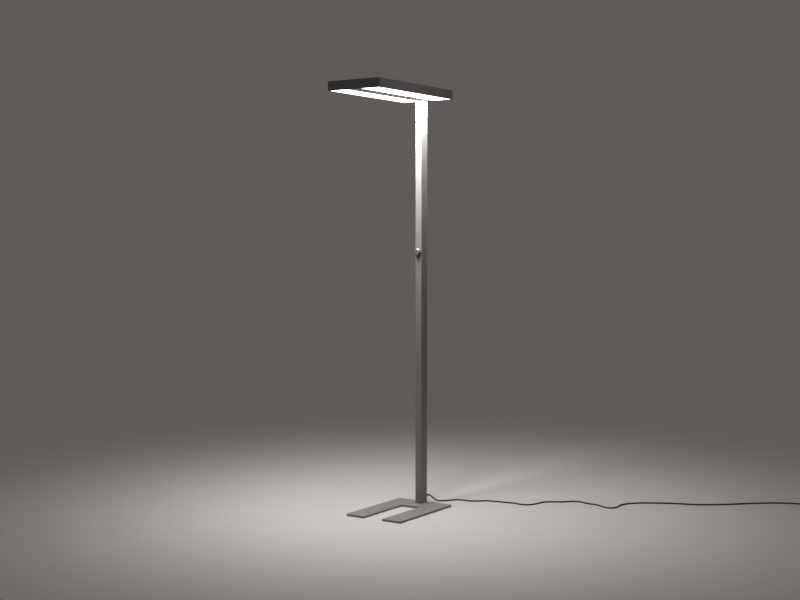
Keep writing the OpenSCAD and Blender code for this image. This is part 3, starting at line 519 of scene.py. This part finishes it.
painted(finish("post_anodised", satin_anodised), "post")

# ---- Strain relief ----
# A black rubber bush, snapped into the back of the post with a ring inside the wall and a flange outside it.
# Its tapered tail has grooves all round, so that it bends with the cord.

RELIEF_LENGTH = 0.036
RELIEF_BORE_R = 0.0036
RELIEF_R = 0.006
RELIEF_TIP_R = 0.0045
# The ring lies between these two depths behind the face of the wall, and its radius comes last.
RELIEF_RING = (0.0041, 0.0026, 0.007)
# The flange's thickness and radius.
RELIEF_FLANGE = (0.0025, 0.008)
RELIEF_GROOVES = 5
RELIEF_GROOVE_STEP = 0.0051
RELIEF_GROOVE_START = 0.0055
RELIEF_GROOVE_R = 0.00415
RELIEF_EASE = 0.0003

tail_root = (RELIEF_FLANGE[0], RELIEF_R)
tail_tip = (RELIEF_LENGTH, RELIEF_TIP_R)
rings = [
    (-RELIEF_RING[0], RELIEF_BORE_R), (-RELIEF_RING[0], RELIEF_RING[2]), (-RELIEF_RING[1], RELIEF_RING[2]),
    (-RELIEF_RING[1], RELIEF_R), (0, RELIEF_R), (0, RELIEF_FLANGE[1]), RELIEF_FLANGE, tail_root]
for groove in range(RELIEF_GROOVES):
    start = RELIEF_GROOVE_START + groove * RELIEF_GROOVE_STEP
    end = start + RELIEF_GROOVE_STEP / 2
    for along, sunk in [(start, False), (start, True), (end, True), (end, False)]:
        skin = between(tail_root, tail_tip, (along - tail_root[0]) / (tail_tip[0] - tail_root[0]))
        rings.append((along, RELIEF_GROOVE_R if sunk else skin[1]))
rings += [tail_tip, (RELIEF_LENGTH, RELIEF_BORE_R), (-RELIEF_RING[0], RELIEF_BORE_R)]
post_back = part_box("post")[1].y
relief = turned(
    "cord_relief", (0, post_back, RELIEF_TIP[2]), (math.radians(-90), 0, 0), rings, sides=48, hollow=True)
edges_eased(relief, RELIEF_EASE)

relief_rubber = soft_pvc(rgb(0.017, 0.016, 0.016), rgb(0.05, 0.047, 0.045))
relief.data.materials.append(finish("relief_rubber", relief_rubber))
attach(relief, "lamp")
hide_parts("strain_relief")

# ---- Cables in the post ----
# The mains cord runs on up inside the post to the terminal block in the head, and a thinner grey lead goes up
# from the control beside it.

painted(finish("inner_pvc", soft_pvc(rgb(0.03, 0.03, 0.03), rgb(0.06, 0.06, 0.06))), "inner_cable")
painted(finish("lead_pvc", soft_pvc(rgb(0.16, 0.16, 0.17), rgb(0.22, 0.22, 0.22))), "control_lead")

# ---- Control ----
# A round knob, turned from aluminium with a dimple that the finger finds, on the shaft of an encoder behind
# the front wall of the post. Turning it dims the lamp, and a push switches it.

KNOB_HEIGHT = 1.2
KNOB_BACK = -0.0271
KNOB_LENGTH = 0.014
KNOB_R = 0.014
KNOB_CHAMFER = 0.002
KNOB_EASE = 0.0004
# The bore for the shaft and the recess for the nut, each by its depth and radius.
KNOB_BORE = (0.0122, 0.00305)
KNOB_RECESS = (0.0038, 0.0076)
DIMPLE_R = 0.006
DIMPLE_DEPTH = 0.0012
DIMPLE_AT = (-0.0045, -0.0025)
GRUB_R = 0.00155
GRUB_Y = -0.0339
TURNED_PITCH = 0.00025

rings = [
    KNOB_BORE, (KNOB_RECESS[0], KNOB_BORE[1]), KNOB_RECESS, (0, KNOB_RECESS[1]), (0, KNOB_R),
    (KNOB_LENGTH - KNOB_CHAMFER, KNOB_R), (KNOB_LENGTH, KNOB_R - KNOB_CHAMFER)]
knob = turned("dimmer_knob", (0, KNOB_BACK, KNOB_HEIGHT), (math.radians(90), 0, 0), rings, sides=128)
edges_eased(knob, KNOB_EASE)
bpy.ops.mesh.primitive_uv_sphere_add(
    segments=96, ring_count=64, radius=DIMPLE_R,
    location=(DIMPLE_AT[0], KNOB_BACK - KNOB_LENGTH - DIMPLE_R + DIMPLE_DEPTH, KNOB_HEIGHT + DIMPLE_AT[1]))
cut_away(knob, bpy.context.object)
bpy.ops.mesh.primitive_cylinder_add(
    vertices=32, radius=GRUB_R, depth=2 * KNOB_R - KNOB_BORE[1], location=(0, GRUB_Y, KNOB_HEIGHT - KNOB_R))
cut_away(knob, bpy.context.object)
shaded_smooth(knob, angle=25)


def turned_aluminium(place):
    """Fine rings on the face and fine lines round the rim, as the lathe leaves them."""
    x, y, z = place.axes()
    height = z - KNOB_HEIGHT
    radius = (x * x + height * height).maths("SQRT")
    face_rings = (radius * (2 * math.pi / TURNED_PITCH)).maths("SINE")
    rim_lines = (y * (2 * math.pi / TURNED_PITCH)).maths("SINE")
    grain = place.noise(5000.0, 2.0)
    return {"Base Color": grain.rise(0.3, 0.7).tint(rgb(0.30, 0.295, 0.29), rgb(0.34, 0.335, 0.33)),
            "Metallic": 0.7, "Roughness": 0.37 + (grain - 0.5) * 0.1,
            "Normal": (face_rings + rim_lines + grain * 0.5).bump(0.00001)}


knob.data.materials.append(finish("knob_turned", turned_aluminium))
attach(knob, "dial")
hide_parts("control_knob")

painted(finish("knob_steel", plated(rgb(0.5, 0.5, 0.52), 0.28)), "encoder_shaft")
painted(finish("grub_steel", plated(rgb(0.1, 0.1, 0.105), 0.3)), "knob_screw")
painted(finish("encoder_brass", plated(rgb(0.66, 0.56, 0.32), 0.3)), "encoder_nut")


def moulded(colour, roughness=0.45):
    """Hard moulded plastic: a fine spark-eroded grain, and slightly uneven gloss."""
    def paint(place):
        grain = place.noise(1600.0, 2.0)
        flow = place.noise(40.0, 2.0).rise(0.3, 0.7)
        return {"Base Color": flow.tint(shaded(colour, 0.95), shaded(colour, 1.03)),
                "Roughness": roughness + (grain - 0.5) * 0.2, "Normal": grain.bump(0.00004)}
    return paint


painted(finish("encoder_plastic", moulded(rgb(0.03, 0.045, 0.035))), "encoder_case")
painted(finish("plunger_plastic", moulded(rgb(0.62, 0.61, 0.56))), "switch_plunger")

# ---- Head frame ----
# Four extruded aluminium rails, mitred at the corners and screwed to hidden brackets, with a dark grey powder
# coat. Their lips carry the light panels below and the covers above. A light grey beam runs from end to end.

HEAD_COAT = rgb(0.180, 0.173, 0.167)
BEAM_COAT = rgb(0.7, 0.69, 0.68)
RAIL_EASE = 0.0004

head_coat = finish("head_coat", powder_coat(HEAD_COAT, 0.5))
for side in ("front", "back", "left", "right"):
    softened(side + "_rail", side + "_frame_rail", RAIL_EASE, head_coat)
softened("spine_cover", "beam_cover", RAIL_EASE, head_coat)
painted(finish("beam_coat", powder_coat(BEAM_COAT, 0.5)), "spine")

# ---- Light panels ----
# Opal acrylic sheets lie on the lower lips and spread the light evenly over the two long windows. The covers
# in the top are satin sheets, and the LEDs under them show as soft dots.

LIGHT_COLOUR = (1.0, 0.985, 0.965)
PANEL_GLOW = 7.0
PANEL_EDGE = 0.02
COVER_GLOW = 1.2
LED_COUNT = 16
LED_ROW_X = 0.012
LED_HALO = 0.014
LED_EDGE = 0.003

panel_low, panel_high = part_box("diffuser_right")
panel_middle = (panel_low + panel_high) / 2
panel_half = (panel_high - panel_low) / 2
board_low, board_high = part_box("uplight_board_right")
board_middle = (board_low + board_high) / 2
board_half = (board_high - board_low) / 2
led_pitch = 2 * board_half.y / LED_COUNT


def panel_edge(place):
    """The distance from the nearest edge of the panel."""
    x, y = place.axes()[:2]
    across = panel_half.x - (x.size() - panel_middle.x).size()
    along = panel_half.y - (y - panel_middle.y).size()
    return across.maths("MINIMUM", along)


def opal(place):
    """Glows evenly, and a little less towards its edges."""
    glow = panel_edge(place).rise(0.0, PANEL_EDGE)
    return {"Base Color": rgb(0.86, 0.86, 0.84), "Roughness": 0.35,
            "Emission Color": glow.tint(rgb(0.8, 0.79, 0.77), rgb(*LIGHT_COLOUR)),
            "Emission Strength": PANEL_GLOW, "Normal": place.noise(900.0).bump(0.00003)}


def led_glow(place):
    """1 at each LED of a board, and 0 past its halo."""
    x, y = place.axes()[:2]
    across = ((x.size() - board_middle.x).size() - LED_ROW_X).size()
    along = (((y - board_low.y) * (1 / led_pitch)).maths("FRACT") - 0.5) * led_pitch
    distance = (across * across + along * along).maths("SQRT")
    on_board = (board_half.y - (y - board_middle.y).size()).rise(0.0, LED_EDGE)
    return (1 - distance.rise(0.0, LED_HALO)) * on_board


def satin_cover(place):
    """Glows softly, with a paler spot over each LED."""
    return {"Base Color": rgb(0.8, 0.82, 0.83), "Roughness": 0.4,
            "Emission Color": led_glow(place).tint(rgb(0.34, 0.335, 0.33), rgb(*LIGHT_COLOUR)),
            "Emission Strength": COVER_GLOW, "Normal": place.noise(1500.0, 3.0).bump(0.00005)}


painted(finish("opal_panel", opal), "diffuser_left", "diffuser_right")
painted(finish("satin_cover", satin_cover), "uplight_cover_left", "uplight_cover_right")

# ---- Trays and boards ----
# A folded white tray in each half of the head holds the panels apart and carries two aluminium boards back to
# back, with two rows of LEDs each: one board shines down and the other up.

BOARD_T = 0.002
LED_FOOT = 0.0001
COPPER_HALF = (0.0022, 0.0026)

tray_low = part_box("downlight_board_right")[1].z
tray_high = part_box("uplight_board_right")[0].z


def tray_coat(place):
    """White reflecting paint, with a fine grain."""
    grain = place.noise(1800.0, 2.0)
    return {"Base Color": place.noise(12.0).rise(0.3, 0.7).tint(rgb(0.78, 0.78, 0.77), rgb(0.84, 0.84, 0.83)),
            "Roughness": 0.55 + (grain - 0.5) * 0.2, "Normal": grain.bump(0.00004)}


def led_board(place):
    """White solder mask, greyer over the copper along each row, with yellow phosphor on the LEDs."""
    x, _, z = place.axes()
    off_tray = (z - (tray_low + tray_high) / 2).size() - (tray_high - tray_low) / 2
    led = off_tray.rise(BOARD_T + LED_FOOT, BOARD_T + 2 * LED_FOOT)
    off_copper = ((x.size() - board_middle.x).size() - LED_ROW_X).size().rise(*COPPER_HALF)
    mask = off_copper.tint(rgb(0.70, 0.71, 0.69), rgb(0.82, 0.83, 0.81))
    return {"Base Color": led.tint(mask, rgb(0.85, 0.62, 0.12)), "Roughness": 0.32 + led * 0.2,
            "Normal": place.noise(2500.0).bump(0.00001)}


painted(finish("tray_coat", tray_coat), "light_tray_left", "light_tray_right")
painted(finish("led_board", led_board),
        "downlight_board_left", "downlight_board_right", "uplight_board_left", "uplight_board_right")

# ---- Driver and wires ----
# The driver, in its white plastic case, and the terminal block lie in the channel of the beam. Five single
# wires join them, and four yellow leads go out to the boards.

WIRE_PITCH = 0.003
WIRE_EDGE = 0.0001
WIRE_BROWN = rgb(0.12, 0.045, 0.02)
WIRE_BLUE = rgb(0.03, 0.09, 0.3)
WIRE_GREY = rgb(0.25, 0.25, 0.25)
WIRE_RED = rgb(0.4, 0.02, 0.015)
WIRE_BLACK = rgb(0.02, 0.02, 0.02)

painted(finish("driver_plastic", moulded(rgb(0.72, 0.72, 0.7))), "driver")
painted(finish("terminal_nylon", moulded(rgb(0.62, 0.62, 0.58), 0.5)), "terminal_block")


def wire_colours(place):
    """The five wires lie in a row, each in its own colour."""
    across = place.axes()[0]
    colour = WIRE_BROWN
    for i, next_colour in enumerate((WIRE_BLUE, WIRE_GREY, WIRE_RED, WIRE_BLACK)):
        edge = (i - 1.5) * WIRE_PITCH
        colour = across.rise(edge - WIRE_EDGE, edge + WIRE_EDGE).tint(colour, next_colour)
    return {"Base Color": colour, "Roughness": 0.38 + place.noise(60.0) * 0.1,
            "Normal": place.noise(2000.0).bump(0.00002)}


painted(finish("wire_colours", wire_colours), "driver_wires")
painted(finish("lead_yellow", soft_pvc(rgb(0.5, 0.42, 0.05), rgb(0.55, 0.5, 0.12))), "led_leads")

# ---- Studio ----
# A plain pale floor that fades into a soft grey backdrop, one soft light on the head from the right, one on
# the back, and an even fill. Two flat lights just under the windows give what the lamp itself sheds.

FLOOR_R = 12.0
FLOOR_MIDDLE = (0.2, 0.1)
FLOOR_FADE = (0.8, 3.4)
SOFTBOXES = [
    {"place": (2.6, -1.1, 1.9), "aim": (0.0, -0.25, 2.0), "side": 0.8, "power": 0.7, "spread": 30},
    {"place": (-2.2, 2.4, 4.2), "aim": (0.0, 0.0, 1.2), "side": 2.6, "power": 40.0, "spread": 180}]
WINDOW_PLACES = ((-0.0835, -0.248, 1.9072), (0.0835, -0.248, 1.9072))
WINDOW_SIZE = (0.094, 0.590)
WINDOW_RADIANCE = 85.0
FILL_LIGHT = 0.06
BACKDROP_LOW = rgb(0.115, 0.104, 0.099)
BACKDROP_HIGH = rgb(0.116, 0.105, 0.098)
BACKDROP_FADE = (-0.05, 0.45)

bpy.ops.object.select_all(action="DESELECT")
bpy.ops.mesh.primitive_circle_add(vertices=96, radius=FLOOR_R, fill_type="NGON")
floor = bpy.context.object
floor.name = "studio_floor"


def pale_floor(place):
    """Matt and pale round the lamp, and clear further out, where the backdrop shows."""
    x, y = place.axes()[:2]
    across = x - FLOOR_MIDDLE[0]
    along = y - FLOOR_MIDDLE[1]
    distance = (across * across + along * along).maths("SQRT")
    return {"Base Color": rgb(0.60, 0.575, 0.57), "Roughness": 0.9, "Specular IOR Level": 0.1,
            "Alpha": 1 - distance.rise(*FLOOR_FADE)}


floor.data.materials.append(finish("pale_floor", pale_floor))

for box in SOFTBOXES:
    bpy.ops.object.light_add(type="AREA", location=box["place"])
    softbox = bpy.context.object
    softbox.rotation_euler = (Vector(box["aim"]) - Vector(box["place"])).to_track_quat("-Z", "Y").to_euler()
    softbox.data.size = box["side"]
    softbox.data.energy = box["power"]
    softbox.data.spread = math.radians(box["spread"])
for place in WINDOW_PLACES:
    bpy.ops.object.light_add(type="AREA", location=place)
    window = bpy.context.object
    window.data.shape = "RECTANGLE"
    window.data.size, window.data.size_y = WINDOW_SIZE
    # A flat light gives off pi times its radiance from each square metre.
    window.data.energy = WINDOW_RADIANCE * math.pi * WINDOW_SIZE[0] * WINDOW_SIZE[1]
    window.data.color = LIGHT_COLOUR
    window.visible_camera = False

world = bpy.data.worlds.new("studio")
bpy.context.scene.world = world
world.use_nodes = True
world.node_tree.nodes.clear()
start = Shade(world.node_tree)
direction = start.node("TexCoord", output="Generated")
seen = direction.axes()[2].rise(*BACKDROP_FADE).tint(BACKDROP_LOW, BACKDROP_HIGH)
camera, glossy, through = [start.node("LightPath", output="Is " + kind + " Ray")
                           for kind in ("Camera", "Glossy", "Transmission")]
shows = camera.maths("MAXIMUM", glossy).maths("MAXIMUM", through)
fill = start.node("Background", {}, {"Color": rgb(1.0, 0.985, 0.975), "Strength": FILL_LIGHT})
backdrop = start.node("Background", {}, {"Color": seen, "Strength": 1.0})
mixed = start.node("MixShader", {}, {0: shows, 1: fill, 2: backdrop})
start.node("OutputWorld", {}, {"Surface": mixed})
bpy.context.scene.view_settings.view_transform = "Standard"
